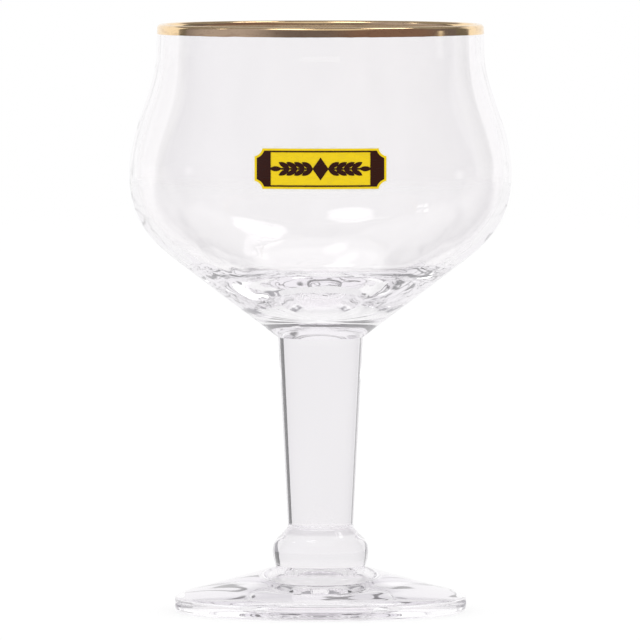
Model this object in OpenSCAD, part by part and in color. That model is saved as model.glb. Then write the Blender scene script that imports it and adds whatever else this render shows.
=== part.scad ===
// Footed chalice for beer. The bowl is blown with a heavy conical base and fused to a tapered stem,
// which stands on a knop and a wide foot. The lip is gilded and the front carries an enamel badge.
// The glass stands on the XY plane, its axis is Z, and the badge faces -Y. All sizes are millimetres.

/* [Foot] */
// Diameter of the foot
foot_d = 80.9; // [72:0.1:96]
// Height of the foot, from the table to the knop
foot_h = 12.6; // [10.5:0.1:15]
// Diameter of the seat that the foot and the knop share
foot_seat_d = 24.2; // [21:0.1:26]
// Diameter where the foot's straight slope starts to round over
foot_slope_d = 63.4; // [54:0.1:70]
// Height of that place above the table
foot_slope_h = 7; // [5.6:0.1:8.4]
// Height of the upright edge above the table
foot_edge_h = 3.7; // [3:0.1:4.6]
// Radius of the heel, between the upright edge and the table
foot_heel_r = 1; // [0.5:0.1:1.5]
// Width of the flat ring that the glass stands on
foot_ring_w = 3.4; // [2:0.1:6]
// Height of the shallow hollow, where it meets the punt
foot_hollow_h = 0.8; // [0.5:0.1:1.6]
// Diameter of the punt, the dome pressed up under the knop
punt_d = 28; // [18:0.1:34]
// Height of the punt's crown above the table
punt_h = 5.6; // [3.6:0.1:8]

/* [Knop] */
// Diameter of the knop at its widest place
knop_d = 26.5; // [24.5:0.1:32]
// Height of the knop, between the foot and the stem
knop_h = 11.7; // [9.5:0.1:14]
// Height of the widest place above the foot
knop_wide_h = 4.1; // [3.2:0.1:5]
// Height of the waist that flares from the stem into the knop
knop_waist_h = 1.8; // [1.2:0.1:2.6]
// Width of that flare
knop_waist_w = 0.85; // [0.4:0.05:1.4]

/* [Stem] */
// Diameter of the stem at the knop
stem_low_d = 18.1; // [15:0.1:21]
// Diameter of the stem at the bowl
stem_top_d = 23.5; // [19.5:0.1:28]
// Length of the stem, between the knop and the bowl
stem_h = 51.8; // [40:0.1:64]

/* [Bowl] */
// Height of the bowl, from the stem to the lip
bowl_h = 86.9; // [76:0.1:100]
// Diameter of the bowl at the lip
rim_d = 90.5; // [76:0.1:105]
// Diameter of the throat, where the upright lip starts to swell
throat_d = 91.1; // [77:0.1:105]
// Distance from the lip down to the throat
throat_drop = 8.6; // [7:0.1:11]
// Diameter of the belly at its widest place
belly_d = 106.1; // [96:0.1:124]
// Height of the widest place above the stem
belly_h = 45.7; // [39:0.1:54]
// Diameter where the belly has turned into the straight cone
cone_d = 78.5; // [66:0.1:90]
// Slope of the cone above the horizontal, in degrees
cone_slope = 37.2; // [31:0.1:43]
// Thickness of the lip
lip_t = 2.2; // [1.6:0.1:3]
// Thickness of the wall at the belly
wall_t = 2.3; // [1.6:0.1:3.2]
// Thickness of the wall where the cone starts
cone_wall_t = 2.8; // [2:0.1:4]
// Thickness of solid glass between the inside and the stem
floor_t = 12.4; // [9:0.1:15]

/* [Gilding] */
// Thickness of the gilding
gilt_t = 0.1; // [0.05:0.01:0.2]
// Height of the gilding outside the lip
gilt_out_h = 3.4; // [2:0.1:5]
// Height of the gilding inside the lip
gilt_in_h = 1.9; // [1.4:0.1:3]

/* [Badge] */
// Width of the badge, measured straight across
badge_w = 37; // [28:0.1:44]
// Height of the badge
badge_h = 12; // [9:0.1:15]
// Height of the badge's middle above the stem
badge_rise = 48.6; // [42:0.1:54]
// Thickness of each layer of enamel
ink_t = 0.1; // [0.05:0.01:0.2]
// Radius of the notches in the badge's corners
notch_r = 2.2; // [1.5:0.1:3]
// Width of the white line left around the yellow enamel
keyline_w = 0.5; // [0.3:0.05:0.8]
// Distance from the edge of the badge to the brown border
border_inset = 1.1; // [0.9:0.05:1.4]
// Width of the brown border's line
border_w = 0.4; // [0.25:0.05:0.6]
// Width of the brown panel at each end
panel_w = 3.4; // [2:0.1:5]
// Length of one barley grain
grain_l = 3.3; // [2.4:0.1:4]
// Width of one barley grain
grain_w = 1.35; // [0.9:0.05:1.7]
// Number of pairs of grains in each ear
grain_pairs = 4; // [3:1:6]
// Width of the stalk that carries the grains
stalk_w = 0.45; // [0.3:0.05:0.7]
// Width of the lozenge where the two stalks meet
lozenge_w = 4.4; // [3:0.1:6]
// Height of the lozenge
lozenge_h = 6.2; // [4:0.1:8]
// Length of each ear's tip that runs into the end panel
tip_lap = 0.3; // [0.2:0.05:0.6]

/* [Hidden] */
$fn = 120;
curve_steps = 16;
lip_steps = 12;
overrun = 1;

// Where the pieces meet, as heights above the table.
knop_z = foot_h;
stem_z = knop_z + knop_h;
bowl_z = stem_z + stem_h;
rim_z = bowl_z + bowl_h;

// How far each curve keeps the direction it starts or ends with.
slope_hold_share = 0.3;
edge_hold_share = 0.45;
swell_top_share = 0.3;
swell_low_share = 0.37;
belly_hold_share = 0.49;
cone_hold_share = 0.6;
well_side_share = 0.5;
well_floor_share = 0.6;
punt_hold_share = 0.55;
knop_hold_share = 0.5;
grain_lean = 28;

// Points after the first one of a cubic curve.
function curve(a, b, c, d, steps = curve_steps) =
    [for (i = [1:steps]) let (t = i / steps, s = 1 - t)
        s * s * s * a + 3 * s * s * t * b + 3 * s * t * t * c + t * t * t * d];
function mix(a, b, share) = a + (b - a) * share;
function reversed(list) = [for (i = [len(list) - 1:-1:0]) list[i]];

// A path moved sideways by distance, to the right of its direction.
function shifted(path, distance) =
    [for (i = [0:len(path) - 1])
        let (ahead = path[min(i + 1, len(path) - 1)] - path[max(i - 1, 0)],
             side = [ahead[1], -ahead[0]] / norm(ahead))
        path[i] + side * distance];

module revolved(outline) {
    rotate_extrude() polygon(outline);
}

// The bowl's wall from the lip down, outside or inside, for given radii and a given cone top.
function swell(lip_r, throat_r, belly_r, cone_top) =
    let (lip = [lip_r, rim_z - lip_t / 2],
         throat = [throat_r, rim_z - throat_drop],
         belly = [belly_r, bowl_z + belly_h],
         fall = throat[1] - belly[1],
         onward = (throat - lip) / norm(throat - lip),
         turn = belly - cone_top,
         along = [cos(cone_slope), sin(cone_slope)])
    concat(
        [lip, throat],
        curve(throat, throat + onward * fall * swell_top_share, belly + [0, fall * swell_low_share], belly),
        curve(belly, belly - [0, turn[1] * belly_hold_share],
            cone_top + along * turn[0] / cos(cone_slope) * cone_hold_share, cone_top));

// Where the straight cone starts, on the outside and on the inside.
cone_top = [cone_d / 2, bowl_z + (cone_d - stem_top_d) / 2 * tan(cone_slope)];
well_top = cone_top + cone_wall_t * [-sin(cone_slope), cos(cone_slope)];
outer_wall = swell(rim_d / 2, throat_d / 2, belly_d / 2, cone_top);
inner_wall = swell(rim_d / 2 - lip_t, throat_d / 2 - lip_t, belly_d / 2 - wall_t, well_top);

// The well is the rounded bottom of the inside. It stays inside the corner of the inner cone and the floor.
well_floor = [0, bowl_z + floor_t];
well_corner = [well_top[0] - (well_top[1] - well_floor[1]) / tan(cone_slope), well_floor[1]];
well = curve(well_top, mix(well_top, well_corner, well_side_share),
    mix(well_floor, well_corner, well_floor_share), well_floor, curve_steps * 2);

// The round top of the lip, from the outside over to the inside, thickened by extra.
function lip_round(extra) =
    [for (i = [0:lip_steps]) let (a = 180 * i / lip_steps)
        [rim_d / 2 - lip_t / 2, rim_z - lip_t / 2] + (lip_t / 2 + extra) * [cos(a), sin(a)]];

module bowl() {
    color("lavender", 0.4)
        revolved(concat(
            [[0, bowl_z], [stem_top_d / 2, bowl_z]],
            reversed(outer_wall),
            lip_round(0),
            inner_wall,
            well));
}

module stem() {
    color("lavender", 0.4)
        revolved([
            [0, stem_z], [stem_low_d / 2, stem_z],
            [stem_top_d / 2, bowl_z], [0, bowl_z]]);
}

module knop() {
    seat = [foot_seat_d / 2, knop_z];
    wide = [knop_d / 2, knop_z + knop_wide_h];
    waist = [stem_low_d / 2 + knop_waist_w, stem_z - knop_waist_h];
    neck = [stem_low_d / 2, stem_z];
    shoulder_w = wide[0] - waist[0];
    shoulder_h = waist[1] - wide[1];
    color("lavender", 0.4)
        revolved(concat(
            [[0, knop_z], seat],
            curve(seat, mix(seat, [wide[0], seat[1]], knop_hold_share),
                wide - [0, knop_wide_h * knop_hold_share], wide),
            curve(wide, wide + [0, shoulder_h * knop_hold_share],
                waist + [shoulder_w, -shoulder_w] * knop_hold_share, waist),
            curve(waist, waist + [-knop_waist_w, knop_waist_w] * knop_hold_share,
                neck - [0, knop_waist_h * knop_hold_share], neck),
            [[0, stem_z]]));
}

module foot() {
    seat = [foot_seat_d / 2, foot_h];
    slope = [foot_slope_d / 2, foot_slope_h];
    edge = [foot_d / 2, foot_edge_h];
    heel = [foot_d / 2 - foot_heel_r, foot_heel_r];
    round_w = edge[0] - slope[0];
    fall = (seat[1] - slope[1]) / (slope[0] - seat[0]);
    ring_in = [foot_d / 2 - foot_heel_r - foot_ring_w, 0];
    punt_edge = [punt_d / 2, foot_hollow_h];
    crown = [0, punt_h];
    color("lavender", 0.4)
        revolved(concat(
            [[0, foot_h], seat, slope],
            curve(slope, slope + [1, -fall] * round_w * slope_hold_share,
                edge + [0, (slope[1] - edge[1]) * edge_hold_share], edge),
            [for (i = [0:lip_steps]) let (a = -90 * i / lip_steps) heel + foot_heel_r * [cos(a), sin(a)]],
            [ring_in],
            curve(ring_in, mix(ring_in, [punt_edge[0], 0], slope_hold_share),
                mix(punt_edge, [ring_in[0], punt_edge[1]], slope_hold_share), punt_edge),
            curve(punt_edge, mix(punt_edge, [punt_edge[0], crown[1]], punt_hold_share),
                mix(crown, [punt_edge[0], crown[1]], punt_hold_share), crown)));
}

module gilt_rim() {
    face = function (radius, side, drop)
        let (lip = [radius, rim_z - lip_t / 2],
             throat = [radius + (throat_d - rim_d) / 2, rim_z - throat_drop],
             share = (drop - lip_t / 2) / (throat_drop - lip_t / 2))
        mix(lip, throat, share) + side;
    out = function (extra) face(rim_d / 2, [extra, 0], gilt_out_h);
    in = function (extra) face(rim_d / 2 - lip_t, [-extra, 0], gilt_in_h);
    color("goldenrod")
        revolved(concat(
            [out(0)], lip_round(0), [in(0), in(gilt_t)],
            reversed(lip_round(gilt_t)), [out(gilt_t)]));
}

// The badge's outline, drawn in by inset all round.
module plaque(inset) {
    difference() {
        square([badge_w - 2 * inset, badge_h - 2 * inset], center = true);
        for (x = [-1, 1], y = [-1, 1])
            translate([x * badge_w / 2, y * badge_h / 2]) circle(r = notch_r + inset);
    }
}

// One barley grain, pointed at both ends and lying along X from its root.
module grain() {
    bulge_r = (grain_l * grain_l + grain_w * grain_w) / (4 * grain_w);
    translate([grain_l / 2, 0])
        intersection() {
            translate([0, bulge_r - grain_w / 2]) circle(r = bulge_r);
            translate([0, grain_w / 2 - bulge_r]) circle(r = bulge_r);
        }
}

// An ear of barley along X from the badge's middle, as long as length.
module barley(length) {
    first = lozenge_w / 2;
    pitch = (length - first - grain_l) / grain_pairs;
    translate([0, -stalk_w / 2]) square([first + pitch * grain_pairs + stalk_w, stalk_w]);
    for (i = [0:grain_pairs - 1], side = [-1, 1])
        translate([first + pitch * i, side * stalk_w / 2]) rotate(side * grain_lean) grain();
    translate([first + pitch * grain_pairs, 0]) grain();
}

// A layer of enamel on the outside of the bowl, with the outline that its children draw.
module enamel(layer) {
    low = shifted(outer_wall, -ink_t * layer);
    high = shifted(outer_wall, -ink_t * (layer + 1));
    intersection() {
        revolved(concat(low, reversed(high)));
        translate([0, 0, bowl_z + badge_rise])
            rotate([90, 0, 0])
                linear_extrude(belly_d / 2 + overrun) children();
    }
}

module badge_white() {
    color("white") enamel(0) plaque(0);
}

module badge_yellow() {
    color("gold") enamel(1) plaque(keyline_w);
}

module badge_brown() {
    field_w = badge_w - 2 * (border_inset + border_w + panel_w);
    color("#3a1f14") enamel(2) {
        difference() {
            plaque(border_inset);
            square([field_w, badge_h - 2 * (border_inset + border_w)], center = true);
        }
        for (turn = [0, 180]) rotate(turn) barley(field_w / 2 + tip_lap);
        polygon([[lozenge_w / 2, 0], [0, lozenge_h / 2], [-lozenge_w / 2, 0], [0, -lozenge_h / 2]]);
    }
}

bowl();
stem();
knop();
foot();
gilt_rim();
badge_white();
badge_yellow();
badge_brown();
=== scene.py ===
import math
import bpy
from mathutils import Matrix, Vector, noise

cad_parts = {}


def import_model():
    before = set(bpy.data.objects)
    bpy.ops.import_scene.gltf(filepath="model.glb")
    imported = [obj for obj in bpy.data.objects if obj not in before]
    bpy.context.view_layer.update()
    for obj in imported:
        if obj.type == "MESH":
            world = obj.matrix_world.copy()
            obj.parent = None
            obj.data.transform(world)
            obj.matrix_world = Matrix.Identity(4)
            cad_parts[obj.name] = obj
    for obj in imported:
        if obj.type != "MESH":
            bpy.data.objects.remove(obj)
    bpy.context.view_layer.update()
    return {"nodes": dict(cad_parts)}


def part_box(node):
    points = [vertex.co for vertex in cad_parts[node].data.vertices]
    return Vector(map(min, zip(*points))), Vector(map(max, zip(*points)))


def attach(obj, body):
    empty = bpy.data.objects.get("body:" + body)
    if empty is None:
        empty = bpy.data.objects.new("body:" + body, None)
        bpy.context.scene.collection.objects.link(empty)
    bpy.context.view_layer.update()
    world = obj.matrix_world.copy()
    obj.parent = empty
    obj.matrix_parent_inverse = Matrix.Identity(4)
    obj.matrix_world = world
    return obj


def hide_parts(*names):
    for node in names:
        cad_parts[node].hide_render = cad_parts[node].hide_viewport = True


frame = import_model()

mm = 0.001
inDegrees = 180 / math.pi
roundSides = 256  # of a turned piece, where its own values don't say otherwise
sharpAngle = 35  # degrees, edges sharper than this aren't smoothed
onAxis = 1e-7  # a smaller radius than this is a point on the axis
noiseMiddle = 0.5  # of Blender's noise texture
finer = 2.0  # each further layer of mathutils' noise is this much finer


def curve(start, startHandle, endHandle, end, steps):
    # points after the first one of a cubic curve
    points = []
    for i in range(1, steps + 1):
        t = i / steps
        s = 1 - t
        points.append(start * s**3 + startHandle * 3 * s * s * t + endHandle * 3 * s * t * t + end * t**3)
    return points


def line(start, end, steps):
    # points after the first one of a straight stretch
    return [start.lerp(end, i / steps) for i in range(1, steps + 1)]


def arc(centre, radius, start, end, steps):
    # points of a round corner, angles in degrees
    points = []
    for i in range(steps + 1):
        turn = math.radians(start + (end - start) * i / steps)
        points.append(centre + radius * Vector((math.cos(turn), math.sin(turn))))
    return points


def lathe(name, outline, materials, sides=roundSides, shift=None, jointRows=()):
    # turns an outline of (radius, height) that starts and ends on the axis, or closes on itself away from it
    # shift moves a point by its row and angle, and the faces of jointRows get the second material
    vertices = []
    rings = []
    for row, point in enumerate(outline):
        if point.x < onAxis:
            rings.append([len(vertices)])
            vertices.append((0, 0, point.y))
            continue
        ring = []
        for i in range(sides):
            angle = 2 * math.pi * i / sides
            r, z = (point.x, point.y) if shift is None else shift(row, point, angle)
            ring.append(len(vertices))
            vertices.append((r * math.sin(angle), -r * math.cos(angle), z))
        rings.append(ring)
    faces = []
    slots = []
    pairs = list(zip(rings, rings[1:]))
    if len(rings[0]) > 1:
        pairs.append((rings[-1], rings[0]))
    for row, (low, high) in enumerate(pairs):
        for i in range(sides):
            j = (i + 1) % sides
            if len(low) == 1:
                faces.append((low[0], high[j], high[i]))
            elif len(high) == 1:
                faces.append((low[i], low[j], high[0]))
            else:
                faces.append((low[i], low[j], high[j], high[i]))
            slots.append(1 if row in jointRows else 0)
    mesh = bpy.data.meshes.new(name)
    mesh.from_pydata(vertices, [], faces)
    for material in materials:
        mesh.materials.append(material)
    mesh.polygons.foreach_set("material_index", slots)
    mesh.shade_smooth()
    mesh.set_sharp_from_angle(angle=math.radians(sharpAngle))
    mesh.validate()
    piece = bpy.data.objects.new(name, mesh)
    bpy.context.scene.collection.objects.link(piece)
    return piece


# node helpers

def maths(tree, operation, *values):
    node = tree.nodes.new("ShaderNodeMath")
    node.operation = operation
    for slot, value in zip(node.inputs, values):
        if isinstance(value, (int, float)):
            slot.default_value = value
        else:
            tree.links.new(value, slot)
    return node.outputs[0]


def ramp(tree, value, low, high, start=0, end=1):
    node = tree.nodes.new("ShaderNodeMapRange")
    node.interpolation_type = "SMOOTHSTEP"
    for key, number in {"From Min": low, "From Max": high, "To Min": start, "To Max": end}.items():
        node.inputs[key].default_value = number
    tree.links.new(value, node.inputs["Value"])
    return node.outputs["Result"]


def window(tree, value, low, high, soft):
    # 1 between low and high
    rise = ramp(tree, value, low - soft / 2, low + soft / 2)
    drop = ramp(tree, value, high - soft / 2, high + soft / 2)
    return maths(tree, "SUBTRACT", rise, drop)


def lay(tree, below, mask, colour):
    # one colour over another where the mask is 1
    node = tree.nodes.new("ShaderNodeMix")
    node.data_type = "RGBA"
    tree.links.new(mask, node.inputs["Factor"])
    for key, value in {"A": below, "B": colour}.items():
        slot = [s for s in node.inputs if s.name == key and s.type == "RGBA"][0]
        if isinstance(value, tuple):
            slot.default_value = (*value, 1)
        else:
            tree.links.new(value, slot)
    return [s for s in node.outputs if s.type == "RGBA"][0]


def lightPath(tree, key):
    return tree.nodes.new("ShaderNodeLightPath").outputs[key]


def after(tree, key, count):
    # 1 on light that was reflected, or passed a surface, that many times or more
    return maths(tree, "GREATER_THAN", lightPath(tree, key), count - 0.5)


def before(tree, key, count):
    return maths(tree, "LESS_THAN", lightPath(tree, key), count - 0.5)


def mirrored(tree):
    # 1 on light that reached the eye by a reflection, 0 on what is seen straight or through the glass
    return after(tree, "Glossy Depth", 1)


def fromOutside(tree):
    # 1 on light that hasn't been inside the glass
    return before(tree, "Transmission Depth", 1)


def noiseOf(tree, size, detail=2.0, stretch=(1, 1, 1)):
    # noise on the object's own coordinates, size is how many to the metre
    place = tree.nodes.new("ShaderNodeTexCoord")
    mapping = tree.nodes.new("ShaderNodeMapping")
    mapping.inputs["Scale"].default_value = stretch
    texture = tree.nodes.new("ShaderNodeTexNoise")
    texture.inputs["Detail"].default_value = detail
    tree.links.new(place.outputs["Object"], mapping.inputs["Vector"])
    tree.links.new(mapping.outputs["Vector"], texture.inputs["Vector"])
    if isinstance(size, (int, float)):
        texture.inputs["Scale"].default_value = size
    else:
        tree.links.new(size, texture.inputs["Scale"])
    return texture.outputs["Fac"]


def newGroup(name, inputs, outputs):
    group = bpy.data.node_groups.new(name, "ShaderNodeTree")
    for key in inputs:
        group.interface.new_socket(key, in_out="INPUT", socket_type="NodeSocketFloat")
    for key in outputs:
        group.interface.new_socket(key, in_out="OUTPUT", socket_type="NodeSocketFloat")
    return group, group.nodes.new("NodeGroupInput").outputs, group.nodes.new("NodeGroupOutput").inputs


def placeGroup(tree, group, **values):
    node = tree.nodes.new("ShaderNodeGroup")
    node.node_tree = group
    for key, value in values.items():
        node.inputs[key.replace("_", " ")].default_value = value
    return node.outputs


def newMaterial(name, base, **values):
    material = bpy.data.materials.new(name)
    material.use_nodes = True
    shader = material.node_tree.nodes["Principled BSDF"]
    shader.inputs["Base Color"].default_value = (*base, 1)
    for key, value in values.items():
        shader.inputs[key].default_value = value
    return material, material.node_tree, shader


# the materials: sizes of patches, specks, streaks and ripples are how many to the metre

def makeFineRipple():
    # the faint unevenness that fire leaves on glass, gold and enamel
    group, inputs, outputs = newGroup("fineRipple", ["Size", "Depth"], ["Height"])
    wave = maths(group, "SUBTRACT", noiseOf(group, inputs["Size"]), noiseMiddle)
    group.links.new(maths(group, "MULTIPLY", wave, inputs["Depth"]), outputs["Height"])
    return group


filmSizes = {
    # each edge: from and to on the noise
    "patchDetail": 3.0, "patchStretch": (1, 1, 3.5), "patchEdge": (0.46, 0.68),
    "speckDetail": 1.0, "speckEdge": (0.66, 0.74),
}


def makeFilmWear():
    # where a fired film is thin, rubbed or speckled
    s = filmSizes
    group, inputs, outputs = newGroup("filmWear", ["Patch Size", "Speck Size", "Amount"], ["Thin", "Specks"])
    patches = noiseOf(group, inputs["Patch Size"], s["patchDetail"], s["patchStretch"])
    patches = ramp(group, patches, *s["patchEdge"])
    specks = ramp(group, noiseOf(group, inputs["Speck Size"], s["speckDetail"]), *s["speckEdge"])
    group.links.new(maths(group, "MULTIPLY", patches, inputs["Amount"]), outputs["Thin"])
    group.links.new(maths(group, "MULTIPLY", specks, inputs["Amount"]), outputs["Specks"])
    return group


fineRipple = makeFineRipple()
filmWear = makeFilmWear()


def addRipple(tree, shader, size, depth):
    bump = tree.nodes.new("ShaderNodeBump")
    bump.inputs["Distance"].default_value = 1.0  # the group's height is in metres
    tree.links.new(placeGroup(tree, fineRipple, Size=size, Depth=depth)["Height"], bump.inputs["Height"])
    tree.links.new(bump.outputs["Normal"], shader.inputs["Normal"])


glassFinish = {
    "refraction": 1.51, "rippleSize": 55, "rippleDepth": 0.012 * mm,
    "streakSize": 120, "streakDetail": 3.0, "streakStretch": (1, 1, 0.25), "streakEdge": (0.35, 0.65),
    "streakShare": 0.012,  # how much a streak takes from the light
    # what a look through the whole piece leaves of the light, so it is darker for thicker glass
    "tints": {"bowl": (1, 0.99, 0.996), "stem": (0.93, 0.912, 0.932),
              "knop": (0.92, 0.903, 0.922), "foot": (0.93, 0.912, 0.932)},
}


def makeClearGlass(name, base):
    s = glassFinish
    material, tree, shader = newMaterial(name, base, **{
        "Transmission Weight": 1.0, "Roughness": 0.0, "IOR": s["refraction"]})
    streaks = noiseOf(tree, s["streakSize"], s["streakDetail"], s["streakStretch"])
    streaks = ramp(tree, streaks, *s["streakEdge"])
    darker = tuple(channel * (1 - s["streakShare"]) for channel in base)
    tree.links.new(lay(tree, base, streaks, darker), shader.inputs["Base Color"])
    addRipple(tree, shader, s["rippleSize"], s["rippleDepth"])
    return material


def makeFusedJoint():
    # where two pieces are melted into one there is no surface to see
    return newMaterial("fusedJoint", (1, 1, 1), **{"Alpha": 0.0})[0]


goldFinish = {
    "gold": (0.95, 0.7, 0.4), "thin": (0.7, 0.48, 0.28), "speck": (0.42, 0.28, 0.17),
    "polish": 0.1, "rubbed": 0.3, "guidedFrom": 2, "guided": (0.85, 0.84, 0.86),
    "patchSize": 260, "speckSize": 2600, "wear": 0.45, "rippleSize": 160, "rippleDepth": 0.012 * mm,
}


def makeGold():
    s = goldFinish
    material, tree, shader = newMaterial("firedGold", s["gold"], **{"Metallic": 1.0})
    wear = placeGroup(tree, filmWear, Patch_Size=s["patchSize"], Speck_Size=s["speckSize"], Amount=s["wear"])
    tone = lay(tree, s["gold"], wear["Thin"], s["thin"])
    tone = lay(tree, tone, wear["Specks"], s["speck"])
    # light that the wall guides down from the lip would tint the base, which the real glass doesn't show
    tone = lay(tree, tone, after(tree, "Glossy Depth", s["guidedFrom"]), s["guided"])
    tree.links.new(tone, shader.inputs["Base Color"])
    tree.links.new(ramp(tree, wear["Thin"], 0, 1, s["polish"], s["rubbed"]), shader.inputs["Roughness"])
    addRipple(tree, shader, s["rippleSize"], s["rippleDepth"])
    return material


enamelFinish = {
    "tones": {"badge_white": (0.9, 0.9, 0.88), "badge_yellow": (0.9, 0.65, 0.005),
              "badge_brown": (0.036, 0.008, 0.003)},
    "coat": 0.2, "coatRoughness": 0.08, "shine": 0.3, "gloss": 0.22, "dull": 0.3,
    "thinShare": 0.1, "speckShare": 0.8, "behindGlassFrom": 2, "glowShare": 0.4,
    "patchSize": 420, "speckSize": 3600, "wear": 0.8, "rippleSize": 1100, "rippleDepth": 0.004 * mm,
}


def makeEnamel(name, base):
    s = enamelFinish
    material, tree, shader = newMaterial(name, base, **{
        "Coat Weight": s["coat"], "Coat Roughness": s["coatRoughness"],
        "Specular IOR Level": s["shine"], "Emission Strength": 1.0})
    wear = placeGroup(tree, filmWear, Patch_Size=s["patchSize"], Speck_Size=s["speckSize"], Amount=s["wear"])
    thin = tuple(channel * (1 - s["thinShare"]) for channel in base)
    tone = lay(tree, base, wear["Thin"], thin)
    speck = tuple(channel * s["speckShare"] for channel in base)
    tree.links.new(lay(tree, tone, wear["Specks"], speck), shader.inputs["Base Color"])
    # seen through the glass it is lit through the wall, which the few bounces of the render make too dark
    behindGlass = after(tree, "Transmission Depth", s["behindGlassFrom"])
    glow = tuple(channel * s["glowShare"] for channel in base)
    tree.links.new(lay(tree, (0, 0, 0), behindGlass, glow), shader.inputs["Emission Color"])
    tree.links.new(ramp(tree, wear["Thin"], 0, 1, s["gloss"], s["dull"]), shader.inputs["Roughness"])
    addRipple(tree, shader, s["rippleSize"], s["rippleDepth"])
    return material


clearGlass = {node: makeClearGlass(node + "ClearGlass", tint) for node, tint in glassFinish["tints"].items()}
fusedJoint = makeFusedJoint()
firedGold = makeGold()
print("materials made")

# the glass, all heights above the table

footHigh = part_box("foot")[1]
knopLow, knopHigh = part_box("knop")
stemLow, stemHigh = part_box("stem")
bowlLow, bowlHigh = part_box("bowl")

jointSteps = 6  # rows of faces across each fused joint

# a share says how far the handles of a curve reach, steps are rows of faces

footSizes = {
    "seatDiameter": 24.2 * mm,
    "slopeDiameter": 63.4 * mm, "slopeHeight": 7 * mm,
    "edgeHeight": 3.7 * mm, "heelRadius": 1 * mm, "ringWidth": 3.4 * mm,
    "hollowHeight": 1.3 * mm, "puntDiameter": 30 * mm, "puntHeight": 6.3 * mm,
    "roundShare": 0.3, "edgeShare": 0.45, "hollowShare": 0.3, "puntShare": 0.55,
    "slopeSteps": 16, "roundSteps": 24, "edgeSteps": 4, "heelSteps": 10, "hollowSteps": 24, "puntSteps": 32,
}


def makeFoot():
    s = footSizes
    top = footHigh[2]
    rim = footHigh[0]
    seat = Vector((s["seatDiameter"] / 2, top))
    slope = Vector((s["slopeDiameter"] / 2, s["slopeHeight"]))
    edge = Vector((rim, s["edgeHeight"]))
    heel = Vector((rim - s["heelRadius"], s["heelRadius"]))
    roundWidth = edge.x - slope.x
    fall = (seat.y - slope.y) / (slope.x - seat.x)
    ringIn = Vector((rim - s["heelRadius"] - s["ringWidth"], 0))
    puntEdge = Vector((s["puntDiameter"] / 2, s["hollowHeight"]))
    crown = Vector((0, s["puntHeight"]))
    puntCorner = Vector((puntEdge.x, crown.y))
    outline = [Vector((0, top))] + line(Vector((0, top)), seat, jointSteps)
    outline += line(seat, slope, s["slopeSteps"])
    outline += curve(slope, slope + Vector((1, -fall)) * roundWidth * s["roundShare"],
                     edge + Vector((0, (slope.y - edge.y) * s["edgeShare"])), edge, s["roundSteps"])
    outline += line(edge, Vector((rim, heel.y)), s["edgeSteps"])
    outline += arc(heel, s["heelRadius"], 0, -90, s["heelSteps"])[1:]
    outline += line(outline[-1], ringIn, s["edgeSteps"])
    ringCorner = Vector((ringIn.x, puntEdge.y))
    outline += curve(ringIn, ringIn.lerp(Vector((puntEdge.x, 0)), s["hollowShare"]),
                     puntEdge.lerp(ringCorner, s["hollowShare"]), puntEdge, s["hollowSteps"])
    outline += curve(puntEdge, puntEdge.lerp(puntCorner, s["puntShare"]),
                     crown.lerp(puntCorner, s["puntShare"]), crown, s["puntSteps"])
    outline = outline[::-1]
    jointRows = range(len(outline) - jointSteps - 1, len(outline) - 1)
    return lathe("footGlass", outline, [clearGlass["foot"], fusedJoint], jointRows=jointRows)


knopSizes = {
    "wideHeight": 4.1 * mm, "waistHeight": 1.8 * mm, "waistWidth": 0.85 * mm,
    "neckDiameter": 18.1 * mm, "handleShare": 0.5,
    "ballSteps": 20, "shoulderSteps": 24, "waistSteps": 12,
}


def makeKnop():
    s = knopSizes
    share = s["handleShare"]
    low, high = knopLow[2], knopHigh[2]
    seat = Vector((footSizes["seatDiameter"] / 2, low))
    wide = Vector((knopHigh[0], low + s["wideHeight"]))
    neck = Vector((s["neckDiameter"] / 2, high))
    waist = Vector((neck.x + s["waistWidth"], high - s["waistHeight"]))
    shoulderWidth = wide.x - waist.x
    shoulderHeight = waist.y - wide.y
    outline = [Vector((0, low))] + line(Vector((0, low)), seat, jointSteps)
    outline += curve(seat, seat.lerp(Vector((wide.x, seat.y)), share),
                     wide - Vector((0, s["wideHeight"] * share)), wide, s["ballSteps"])
    outline += curve(wide, wide + Vector((0, shoulderHeight * share)),
                     waist + Vector((shoulderWidth, -shoulderWidth)) * share, waist, s["shoulderSteps"])
    outline += curve(waist, waist + Vector((-s["waistWidth"], s["waistWidth"])) * share,
                     neck - Vector((0, s["waistHeight"] * share)), neck, s["waistSteps"])
    joint = len(outline) - 1
    outline += line(neck, Vector((0, high)), jointSteps)
    jointRows = [*range(0, jointSteps), *range(joint, joint + jointSteps)]
    return lathe("knopGlass", outline, [clearGlass["knop"], fusedJoint], jointRows=jointRows)


stemSizes = {"steps": 40}


def makeStem():
    low, high = stemLow[2], stemHigh[2]
    bottom = Vector((knopSizes["neckDiameter"] / 2, low))
    top = Vector((stemHigh[0], high))
    outline = [Vector((0, low))] + line(Vector((0, low)), bottom, jointSteps)
    outline += line(bottom, top, stemSizes["steps"])
    joint = len(outline) - 1
    outline += line(top, Vector((0, high)), jointSteps)
    jointRows = [*range(0, jointSteps), *range(joint, joint + jointSteps)]
    return lathe("stemGlass", outline, [clearGlass["stem"], fusedJoint], jointRows=jointRows)


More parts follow.
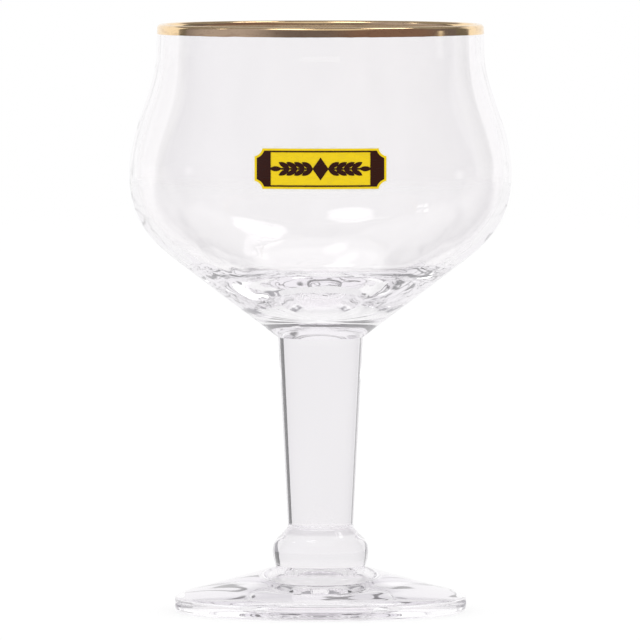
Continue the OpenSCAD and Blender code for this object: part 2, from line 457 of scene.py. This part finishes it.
bowlSizes = {
    "rimDiameter": 90.5 * mm, "throatDiameter": 91.1 * mm, "throatDrop": 8.6 * mm,
    "bellyDiameter": 106.1 * mm, "bellyHeight": 45.7 * mm,
    "coneDiameter": 78.5 * mm, "coneSlope": 37.2,
    "lipThickness": 2.2 * mm, "wallThickness": 2.3 * mm, "coneWall": 2.8 * mm, "floorThickness": 12.4 * mm,
    "throatShare": 0.3, "bellyTopShare": 0.37, "bellyLowShare": 0.49, "coneShare": 0.6,
    "wellSideShare": 0.5, "wellFloorShare": 0.6,
    "lipSteps": 16, "throatSteps": 10, "wallSteps": 64, "coneSteps": 36, "wellSteps": 72, "sides": 240,
    # the ripple inside: full up to the cone's top, none from waveNoneShare of that height,
    # and less and less within waveCentre of the axis
    "waveDepth": 0.45 * mm, "waveHeight": 14 * mm, "waveTurn": 2.2, "waveFall": 0.7, "waveLayers": 3,
    "waveNoneShare": 1.35, "waveFrontShare": 0.3, "waveCentre": 20 * mm,
}


def swell(lipRadius, throatRadius, bellyRadius, coneTop):
    # the wall from the lip down to the cone
    s = bowlSizes
    low, rim = bowlLow[2], bowlHigh[2]
    slope = math.radians(s["coneSlope"])
    lip = Vector((lipRadius, rim - s["lipThickness"] / 2))
    throat = Vector((throatRadius, rim - s["throatDrop"]))
    belly = Vector((bellyRadius, low + s["bellyHeight"]))
    fall = throat.y - belly.y
    onward = (throat - lip).normalized()
    turn = belly - coneTop
    along = Vector((math.cos(slope), math.sin(slope)))
    points = [lip] + line(lip, throat, s["throatSteps"])
    points += curve(throat, throat + onward * fall * s["throatShare"],
                    belly + Vector((0, fall * s["bellyTopShare"])), belly, s["wallSteps"])
    points += curve(belly, belly - Vector((0, turn.y * s["bellyLowShare"])),
                    coneTop + along * (turn.x / math.cos(slope) * s["coneShare"]), coneTop, s["wallSteps"])
    return points


def makeBowl():
    s = bowlSizes
    low, rim = bowlLow[2], bowlHigh[2]
    lip = s["lipThickness"]
    slope = math.radians(s["coneSlope"])
    stemTop = Vector((stemHigh[0], low))
    coneTop = Vector((s["coneDiameter"] / 2, low + (s["coneDiameter"] / 2 - stemTop.x) * math.tan(slope)))
    wellTop = coneTop + s["coneWall"] * Vector((-math.sin(slope), math.cos(slope)))
    outer = swell(s["rimDiameter"] / 2, s["throatDiameter"] / 2, s["bellyDiameter"] / 2, coneTop)
    inner = swell(s["rimDiameter"] / 2 - lip, s["throatDiameter"] / 2 - lip,
                  s["bellyDiameter"] / 2 - s["wallThickness"], wellTop)
    wellFloor = Vector((0, low + s["floorThickness"]))
    wellCorner = Vector((wellTop.x - (wellTop.y - wellFloor.y) / math.tan(slope), wellFloor.y))
    well = curve(wellTop, wellTop.lerp(wellCorner, s["wellSideShare"]),
                 wellFloor.lerp(wellCorner, s["wellFloorShare"]), wellFloor, s["wellSteps"])
    lipCentre = Vector((s["rimDiameter"] / 2 - lip / 2, rim - lip / 2))
    outline = [Vector((0, low))] + line(Vector((0, low)), stemTop, jointSteps)
    outline += line(stemTop, coneTop, s["coneSteps"])
    outline += outer[::-1][1:-1]
    outline += arc(lipCentre, lip / 2, 0, 180, s["lipSteps"])
    innerStart = len(outline) - 1
    outline += inner[1:]
    outline += well
    wellEnd = len(outline) - 1

    def shift(row, point, angle):
        # the mould-blown inside is uneven low down, where the glass is thick, and least at the front and back
        if row <= innerStart or row >= wellEnd:
            return point.x, point.y
        height = (point.y - low) / (wellTop.y - low)
        amount = max(0, min(1, (s["waveNoneShare"] - height) / (s["waveNoneShare"] - 1)))
        amount *= min(1, point.x / s["waveCentre"])
        amount *= s["waveFrontShare"] + (1 - s["waveFrontShare"]) * math.sin(angle) ** 2
        turn = s["waveTurn"]
        spot = Vector((math.sin(angle) * turn, math.cos(angle) * turn, point.y / s["waveHeight"]))
        push = s["waveDepth"] * amount * noise.fractal(spot, s["waveFall"], finer, s["waveLayers"])
        return point.x + push * math.sin(slope), point.y - push * math.cos(slope)

    return lathe("bowlGlass", outline, [clearGlass["bowl"], fusedJoint],
                 sides=s["sides"], shift=shift, jointRows=range(0, jointSteps))


glassPieces = {"foot": makeFoot(), "knop": makeKnop(), "stem": makeStem(), "bowl": makeBowl()}
for node, piece in glassPieces.items():
    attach(piece, "root")
    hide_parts(node)
print("glass made")

# the gilding wraps the lip: how far it stands out and sinks in, and how far down it reaches

giltSizes = {
    "stand": 0.05 * mm, "sink": 0.03 * mm, "outside": 2.65 * mm, "inside": 1.2 * mm,
    "lipSteps": 24, "outsideSteps": 8, "insideSteps": 6, "sides": 384,
    "edgeWave": 0.07 * mm, "edgeTurn": 7, "edgeFall": 0.6, "edgeLayers": 4,
}


def makeGiltRim():
    s = giltSizes
    b = bowlSizes
    rim = bowlHigh[2]
    half = b["lipThickness"] / 2
    centre = Vector((b["rimDiameter"] / 2 - half, rim - half))
    flare = (b["throatDiameter"] - b["rimDiameter"]) / 2 / (b["throatDrop"] - half)

    def film(extra):
        # one face of the gilding, that far off the glass
        outside = Vector((b["rimDiameter"] / 2 + flare * (s["outside"] - half) + extra, rim - s["outside"]))
        inside = Vector((b["rimDiameter"] / 2 - 2 * half + flare * (s["inside"] - half) - extra,
                         rim - s["inside"]))
        lip = arc(centre, half + extra, 0, 180, s["lipSteps"])
        down = line(lip[-1], inside, s["insideSteps"])
        return [outside] + line(outside, lip[0], s["outsideSteps"]) + lip[1:] + down

    outline = film(s["stand"]) + film(-s["sink"])[::-1]

    def shift(row, point, angle):
        # the brush leaves its edge a little uneven
        if row not in (0, len(outline) - 1):
            return point.x, point.y
        turn = s["edgeTurn"]
        spot = Vector((math.sin(angle) * turn, math.cos(angle) * turn, 0))
        return point.x, point.y + s["edgeWave"] * noise.fractal(spot, s["edgeFall"], finer, s["edgeLayers"])

    return lathe("giltRim", outline, [firedGold], sides=s["sides"], shift=shift)


giltRim = makeGiltRim()
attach(giltRim, "root")
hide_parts("gilt_rim")
print("gilding made")

# the badge keeps its CAD solids

for node, tone in enamelFinish["tones"].items():
    enamel = makeEnamel(node, tone)
    for slot in frame["nodes"][node].material_slots:
        slot.material = enamel
print("badge dressed")

# the studio: white behind and below, a dim room in front that only mirror-like reflections show
# round is in degrees from the back to the right, up is in degrees above the horizon

studio = {
    "white": 1.0, "backLeft": -61, "backRight": 51, "backSoft": 2, "backTop": (23, 31),
    "flagLeft": -70, "flagRight": 68, "flagSoft": 1.5, "flagSwap": (-5, 5),
    # each stretch: from, to, and how soft its edges are
    "flagUp": (-8, 50, 10), "flagLight": 0.17, "flagInside": 0.62,
    "flagThroughUp": (-8, 14, 4), "flagThrough": 0.45,
    "ceilingRound": (-80, 80, 10), "ceilingUp": (31, 72, 5), "ceilingLight": 0.3, "ceilingInside": 0.85,
    "room": (0.15, 0.142, 0.185), "roomInside": (0.26, 0.25, 0.28),
    "leftRound": (-140, -75, 40), "roomLeft": (0.42, 0.42, 0.53),
    "rightRound": (90, 165, 30), "roomRight": (0.2, 0.145, 0.155),
    # each lamp: round, up, half its width, how soft its edge is, brightness
    "topBox": (180, 64, 27, 14, 0.7),
    "lamps": {"leftBox": (60, 65, 9.2, 3, 3.4), "rightBox": (-134, 71, 10, 4, 3.2),
              "smallLamp": (-87, 44, 2.5, 2, 4), "sideLamp": (86, -1, 3, 3, 1)},
    # what is seen from the second reflection on: a bright room with dark bands and small bright spots
    "deepFrom": 2, "lateFrom": 4,
    "deepFront": (0.78, 0.76, 0.8), "deepBack": (0.9, 0.88, 0.92), "deepLate": (0.91, 0.89, 0.92),
    "deepRound": (-75, 75, 30), "deepUp": (66, 76),
    "veinScale": 3.7, "veinDetail": 1.0, "veinEdge": (0.01, 0.03), "vein": (0.27, 0.26, 0.27),
    # each band: up from and to, how soft its edges are, tone
    "bandTint": (0.98, 0.96, 1),
    "secondBands": [(43, 68, 5, 0.2)],
    "earlyBands": [(26, 28, 1.5, 0.2), (61, 68, 4, 0.2)],
    "lateBands": [(6, 10, 2, 0.3), (45, 48, 2, 0.3), (53, 59, 2, 0.15), (62, 64, 1, 0.3)],
    "lateRound": (50, 155, 10),
    "sparks": [(78, 3, 3, 1.5, 2), (-68, 3, 3, 1.5, 2), (84, 50, 4, 1.5, 2), (-80, 50, 4, 1.5, 2),
               (108, 66, 4, 2, 2), (-120, 66, 4, 2, 2), (20, 50, 2, 2, 2)],
}


def grey(tone):
    return (tone, tone, tone)


def degreesRound(tree, split):
    angle = maths(tree, "ARCTAN2", split.outputs["X"], split.outputs["Y"])
    return maths(tree, "MULTIPLY", angle, inDegrees)


def sideFlags(tree, around):
    # the grey flags left and right of the white back
    s = studio
    wide = window(tree, around, s["flagLeft"], s["flagRight"], s["flagSoft"])
    return maths(tree, "SUBTRACT", wide, window(tree, around, s["backLeft"], s["backRight"], s["flagSoft"]))


def lamp(tree, toward, below, turn, rise, size, soft, brightness):
    turn, rise = math.radians(turn), math.radians(rise)
    aim = tree.nodes.new("ShaderNodeVectorMath")
    aim.operation = "DOT_PRODUCT"
    tree.links.new(toward, aim.inputs[0])
    level = math.cos(rise)
    aim.inputs[1].default_value = (math.sin(turn) * level, math.cos(turn) * level, math.sin(rise))
    edge, core = [math.cos(math.radians(angle)) for angle in (size + soft / 2, size - soft / 2)]
    return lay(tree, below, ramp(tree, aim.outputs["Value"], edge, core), grey(brightness))


def band(tree, up, below, mask, low, high, soft, tone):
    mask = maths(tree, "MULTIPLY", mask, window(tree, up, low, high, soft))
    return lay(tree, below, mask, tuple(tone * channel for channel in studio["bandTint"]))


def makeThrough(tree, around, up, flags):
    # what is seen through the glass: white, with low flags that the glass bends into its edges
    s = studio
    low = maths(tree, "MULTIPLY", flags, window(tree, up, *s["flagThroughUp"]))
    tone = lay(tree, grey(s["flagLight"]), ramp(tree, around, *s["flagSwap"], 1, 0), grey(s["flagThrough"]))
    through = lay(tree, grey(s["white"]), low, tone)
    return lay(tree, through, lightPath(tree, "Is Camera Ray"), grey(s["white"]))


def makeRoom(tree, toward, around, up, flags):
    # what a first reflection shows
    s = studio
    outside = fromOutside(tree)
    room = lay(tree, s["room"], window(tree, around, *s["leftRound"]), s["roomLeft"])
    room = lay(tree, room, window(tree, around, *s["rightRound"]), s["roomRight"])
    room = lay(tree, s["roomInside"], outside, room)
    flags = maths(tree, "MULTIPLY", flags, window(tree, up, *s["flagUp"]))
    room = lay(tree, room, flags, lay(tree, grey(s["flagInside"]), outside, grey(s["flagLight"])))
    ceiling = window(tree, around, *s["ceilingRound"])
    ceiling = maths(tree, "MULTIPLY", ceiling, window(tree, up, *s["ceilingUp"]))
    room = lay(tree, room, ceiling, lay(tree, grey(s["ceilingInside"]), outside, grey(s["ceilingLight"])))
    back = window(tree, around, s["backLeft"], s["backRight"], s["backSoft"])
    back = maths(tree, "MULTIPLY", back, ramp(tree, up, *s["backTop"], 1, 0))
    room = lay(tree, room, back, grey(s["white"]))
    room = lay(tree, room, outside, lamp(tree, toward, room, *s["topBox"]))
    for values in s["lamps"].values():
        room = lamp(tree, toward, room, *values)
    return room


def makeVeins(tree, toward):
    # thin wandering lines, where the noise crosses its middle
    s = studio
    texture = tree.nodes.new("ShaderNodeTexNoise")
    texture.inputs["Scale"].default_value = s["veinScale"]
    texture.inputs["Detail"].default_value = s["veinDetail"]
    tree.links.new(toward, texture.inputs["Vector"])
    away = maths(tree, "ABSOLUTE", maths(tree, "SUBTRACT", texture.outputs["Fac"], noiseMiddle))
    return ramp(tree, away, *s["veinEdge"], 1, 0)


def makeDeep(tree, toward, around, up):
    # what later reflections show
    s = studio
    second = before(tree, "Glossy Depth", s["deepFrom"] + 1)
    early = before(tree, "Glossy Depth", s["lateFrom"])
    late = maths(tree, "MULTIPLY", after(tree, "Glossy Depth", s["lateFrom"]),
                 window(tree, maths(tree, "ABSOLUTE", around), *s["lateRound"]))
    deep = lay(tree, s["deepFront"], window(tree, around, *s["deepRound"]), s["deepBack"])
    deep = lay(tree, deep, ramp(tree, up, *s["deepUp"]), s["deepBack"])
    deep = lay(tree, s["deepLate"], early, deep)
    deep = lay(tree, deep, makeVeins(tree, toward), s["vein"])
    for mask, bands in ((second, s["secondBands"]), (early, s["earlyBands"]), (late, s["lateBands"])):
        for values in bands:
            deep = band(tree, up, deep, mask, *values)
    for values in s["sparks"]:
        deep = lamp(tree, toward, deep, *values)
    return deep


def makeStudio():
    world = bpy.data.worlds.new("studio")
    bpy.context.scene.world = world
    world.use_nodes = True
    tree = world.node_tree
    toward = tree.nodes.new("ShaderNodeTexCoord").outputs["Generated"]
    split = tree.nodes.new("ShaderNodeSeparateXYZ")
    tree.links.new(toward, split.inputs[0])
    around = degreesRound(tree, split)
    up = maths(tree, "MULTIPLY", maths(tree, "ARCSINE", split.outputs["Z"]), inDegrees)
    flags = sideFlags(tree, around)
    room = makeRoom(tree, toward, around, up, flags)
    deep = makeDeep(tree, toward, around, up)
    room = lay(tree, room, after(tree, "Glossy Depth", studio["deepFrom"]), deep)
    light = lay(tree, makeThrough(tree, around, up, flags), mirrored(tree), room)
    tree.links.new(light, tree.nodes["Background"].inputs["Color"])


# the floor: pale, and in reflections dim in front of the glass as the room is, with painted light under the
# foot

floorLook = {
    "radius": 3.0, "solidRadius": 1.2, "sides": 96,
    "tone": 0.25, "frontTone": 0.03, "roughness": 0.9, "glow": 0.78,
    # the last value on the next line is painted light: the floor's glow under the foot, raised in reflections
    "backSoft": 8, "brightRadius": 0.045, "dimRadius": 0.06, "nearShare": 0.03, "underFootPaintedLight": 1.2,
    "flagNear": 0.05, "flagFar": 0.08,
    "dim": (0.15, 0.142, 0.185), "dimInside": (0.42, 0.41, 0.44),
}


def makeFloor():
    s = floorLook
    vertices = [(0, 0, 0)]
    for i in range(s["sides"]):
        angle = 2 * math.pi * i / s["sides"]
        vertices.append((s["radius"] * math.cos(angle), s["radius"] * math.sin(angle), 0))
    faces = [(0, i + 1, (i + 1) % s["sides"] + 1) for i in range(s["sides"])]
    mesh = bpy.data.meshes.new("floor")
    mesh.from_pydata(vertices, [], faces)
    floor = bpy.data.objects.new("floor", mesh)
    bpy.context.scene.collection.objects.link(floor)
    material, tree, shader = newMaterial("paleFloor", grey(s["tone"]), **{
        "Roughness": s["roughness"], "Specular IOR Level": 0.0, "Emission Strength": s["glow"]})
    place = tree.nodes.new("ShaderNodeTexCoord")
    split = tree.nodes.new("ShaderNodeSeparateXYZ")
    length = tree.nodes.new("ShaderNodeVectorMath")
    length.operation = "LENGTH"
    tree.links.new(place.outputs["Object"], split.inputs[0])
    tree.links.new(place.outputs["Object"], length.inputs[0])
    around = degreesRound(tree, split)
    reach = length.outputs["Value"]
    tree.links.new(ramp(tree, reach, s["solidRadius"], s["radius"], 1, 0), shader.inputs["Alpha"])
    behind = window(tree, around, studio["backLeft"], studio["backRight"], s["backSoft"])
    front = maths(tree, "MULTIPLY", mirrored(tree), maths(tree, "SUBTRACT", 1, behind))
    far = ramp(tree, reach, s["brightRadius"], s["dimRadius"], s["nearShare"], 1)
    front = maths(tree, "MULTIPLY", front, far)
    # the flags go on over the floor, where it is seen through the glass
    refracted = maths(tree, "MULTIPLY", after(tree, "Transmission Depth", 1), before(tree, "Glossy Depth", 1))
    flags = maths(tree, "MULTIPLY", maths(tree, "MULTIPLY", sideFlags(tree, around), refracted),
                  ramp(tree, reach, s["flagNear"], s["flagFar"]))
    front = maths(tree, "MAXIMUM", front, flags)
    # in reflections the floor round the foot glows brighter: painted light that lifts the shade under the
    # foot
    near = maths(tree, "MULTIPLY", mirrored(tree), ramp(tree, reach, s["brightRadius"], s["dimRadius"], 1, 0))
    bright = lay(tree, grey(1), near, grey(s["underFootPaintedLight"]))
    dim = lay(tree, s["dimInside"], fromOutside(tree), s["dim"])
    tree.links.new(lay(tree, bright, front, dim), shader.inputs["Emission Color"])
    tree.links.new(lay(tree, grey(s["tone"]), front, grey(s["frontTone"])), shader.inputs["Base Color"])
    mesh.materials.append(material)


makeFloor()
makeStudio()
bpy.context.scene.view_settings.view_transform = "Standard"
print("studio made")

# the camera, square to the badge and a little above the lip

cameraSizes = {
    "distance": 3.2, "height": 0.235, "aimHeight": 80.9 * mm, "sideways": -0.14 * mm,
    "lens": 649.4, "sensor": 36, "near": 0.1, "far": 50,
}


def makeCamera():
    s = cameraSizes
    data = bpy.data.cameras.new("camera")
    data.lens = s["lens"]
    data.sensor_width = s["sensor"]
    data.clip_start = s["near"]
    data.clip_end = s["far"]
    camera = bpy.data.objects.new("camera", data)
    bpy.context.scene.collection.objects.link(camera)
    camera.location = (s["sideways"], -s["distance"], s["height"])
    toAim = Vector((s["sideways"], 0, s["aimHeight"])) - camera.location
    camera.rotation_euler = toAim.to_track_quat("-Z", "Y").to_euler()
    bpy.context.scene.camera = camera


bounces = {"all": 128, "caught": 4, "caughtReach": 0.5 * mm}


def setBounces():
    cycles = bpy.context.scene.cycles
    cycles.max_bounces = bounces["all"]
    cycles.transmission_bounces = bounces["all"]
    cycles.transparent_max_bounces = bounces["all"]
    cycles.glossy_bounces = bounces["all"]
    cycles.use_fast_gi = True  # a path caught in the wall leaves it after a few reflections
    cycles.ao_bounces_render = bounces["caught"]
    light = bpy.context.scene.world.light_settings
    light.distance = bounces["caughtReach"]
    light.ao_factor = 1


makeCamera()
setBounces()
print("camera made")
